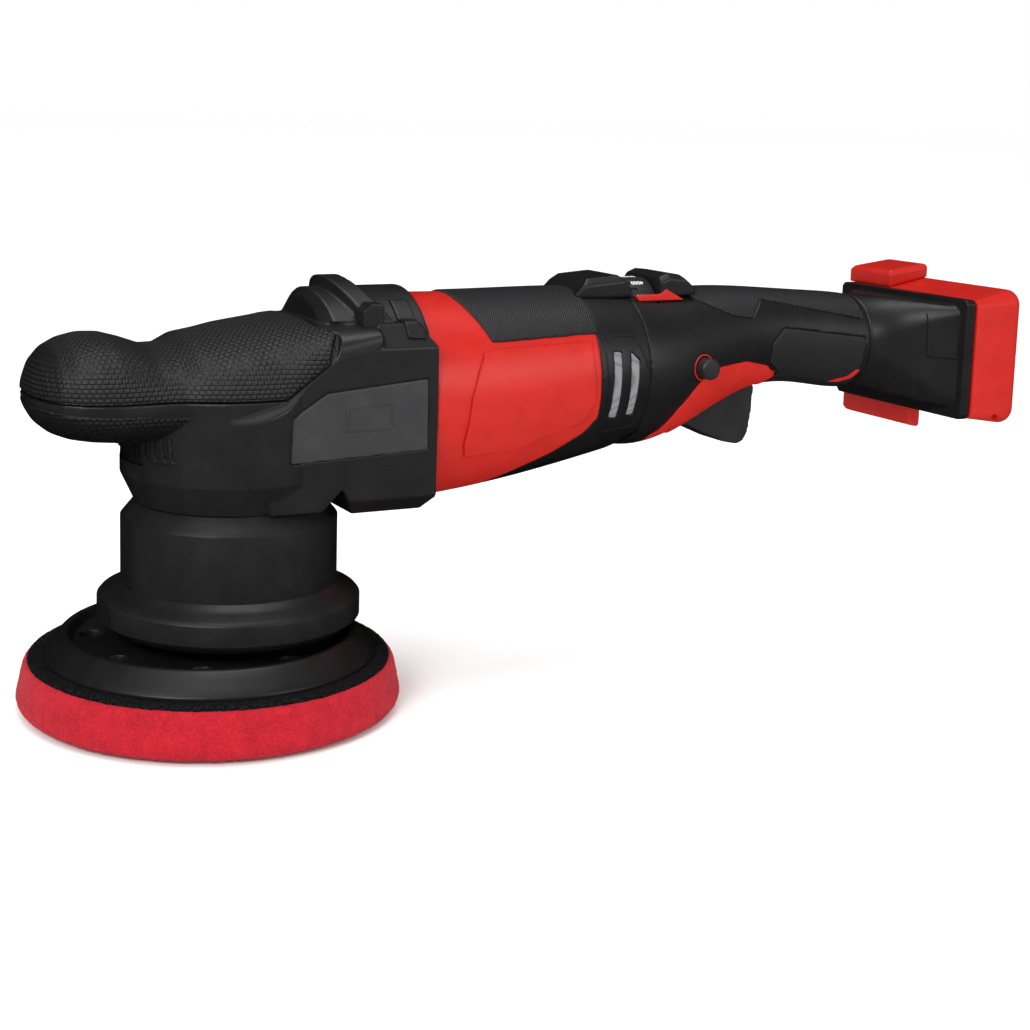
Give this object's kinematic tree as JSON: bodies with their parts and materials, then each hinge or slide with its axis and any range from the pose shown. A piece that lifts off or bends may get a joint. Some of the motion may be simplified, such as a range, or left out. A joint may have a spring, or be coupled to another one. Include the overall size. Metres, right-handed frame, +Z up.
{
  "type": "dual action polisher",
  "caption": "Cordless random-orbital polisher with a round foam pad, orbiting backing plate, palm nose, barrel motor body, paddle trigger and slide-on battery foot.",
  "frame": {"origin": "centre of the spindle axis at the foam pad's working face", "axes": "+Z up along the spindle axis, +X from the spindle towards the handle and battery foot, -Y the tool's left side"},
  "size_m": [0.4275, 0.146, 0.1614],
  "materials": {
    "foam": "open-cell foam",
    "loop_fabric": "hook and loop fleece",
    "plate_plastic": "satin",
    "steel": "ground",
    "steel_dark": "blackened",
    "iron": "machined",
    "bearing_steel": "ground",
    "gear_steel": "hardened",
    "magnet_steel": "ground",
    "fan_plastic": "moulded",
    "copper": "enamelled wire",
    "aluminium": "die cast",
    "board": "solder mask",
    "shroud_rubber": "satin",
    "case_metal": "black coated",
    "soft_grip": "textured",
    "panel_plastic": "fine grain",
    "black_plastic": "satin",
    "red_plastic": "satin",
    "mesh_plastic": "woven mesh",
    "trigger_plastic": "satin",
    "spring_steel": "drawn wire",
    "switch_plastic": "moulded",
    "lead_rubber": "silicone insulation",
    "brass": "stamped"
  },
  "bodies": {
    "body": {"spindle_bearings": "bearing_steel", "motor_bearings": "bearing_steel", "stator": "iron", "windings": "copper", "motor_end_plate": "aluminium", "sensor_board": "board", "neck_shroud": "shroud_rubber", "skirt_ring": "shroud_rubber", "gear_case": "case_metal", "palm_pad": "soft_grip", "side_panels": "panel_plastic", "nose_grille": "black_plastic", "bearing_plate": "aluminium", "nose_core": "black_plastic", "nose_grip_upper": "soft_grip", "nose_grip_lower": "soft_grip", "motor_housing": "red_plastic", "vent_band": "black_plastic", "top_grip": "soft_grip", "vent_mesh": "mesh_plastic", "housing_studs": "steel_dark", "handle_left": "black_plastic", "handle_right": "black_plastic", "trigger_bezel": "red_plastic", "handle_top_grip": "soft_grip", "handle_side_grips": "soft_grip", "casing_screws": "steel_dark", "trigger_pin": "steel", "trigger_spring": "spring_steel", "switch_module": "switch_plastic", "lock_bush": "red_plastic", "lock_spring": "spring_steel", "dial_yoke": "red_plastic", "dial_guards": "black_plastic", "control_board": "board", "power_leads": "lead_rubber", "battery_foot": "black_plastic", "battery_carrier": "red_plastic", "latch_housings": "red_plastic", "terminal_block": "switch_plastic", "terminals": "brass"},
    "drive": {"eccentric_hub": "iron", "pad_bearings": "bearing_steel", "counterweight": "steel", "counterweight_screws": "steel_dark", "spindle": "steel", "ring_gear": "gear_steel", "spindle_nut": "steel_dark"},
    "pad": {"foam_pad": "foam", "loop_layer": "loop_fabric", "backing_plate": "plate_plastic", "pad_spindle": "steel", "pad_bolt": "steel_dark"},
    "motor": {"pinion": "gear_steel", "motor_shaft": "steel", "rotor": "magnet_steel", "fan": "fan_plastic"},
    "trigger": {"trigger": "trigger_plastic"},
    "lock_button": {"lock_button": "trigger_plastic"},
    "speed_dial": {"speed_dial": "trigger_plastic"}
  },
  "joints": [
    {"name": "spindle_spin", "type": "hinge", "parent": "body", "child": "drive", "pos_m": [0, 0, 0.1], "axis": [0, 0, 1], "continuous": true},
    {"name": "pad_spin", "type": "hinge", "parent": "drive", "child": "pad", "pos_m": [-0.0075, 0, 0.05], "axis": [0, 0, 1], "continuous": true},
    {"name": "motor_spin", "type": "hinge", "parent": "body", "child": "motor", "pos_m": [0.09, 0, 0.115], "axis": [1, 0, 0], "continuous": true},
    {"name": "trigger_squeeze", "type": "hinge", "parent": "body", "child": "trigger", "pos_m": [0.199, 0, 0.1032], "axis": [0, -1, 0], "range_deg": [0, 8], "stiffness_Nm_per_rad": 0.8, "springref_deg": -6.88},
    {"name": "lock_press", "type": "slide", "parent": "body", "child": "lock_button", "axis": [0, 1, 0], "range_m": [0, 0.003], "stiffness_N_per_m": 300, "springref_m": -0.002, "deforming": ["lock_spring"]},
    {"name": "speed_dial_turn", "type": "hinge", "parent": "body", "child": "speed_dial", "pos_m": [0.172, 0, 0.1436], "axis": [1, 0, 0], "range_deg": [-150, 0]}
  ],
  "couplings": [
    {"joint": "motor_spin", "follows": "spindle_spin", "ratio": 3}
  ]
}
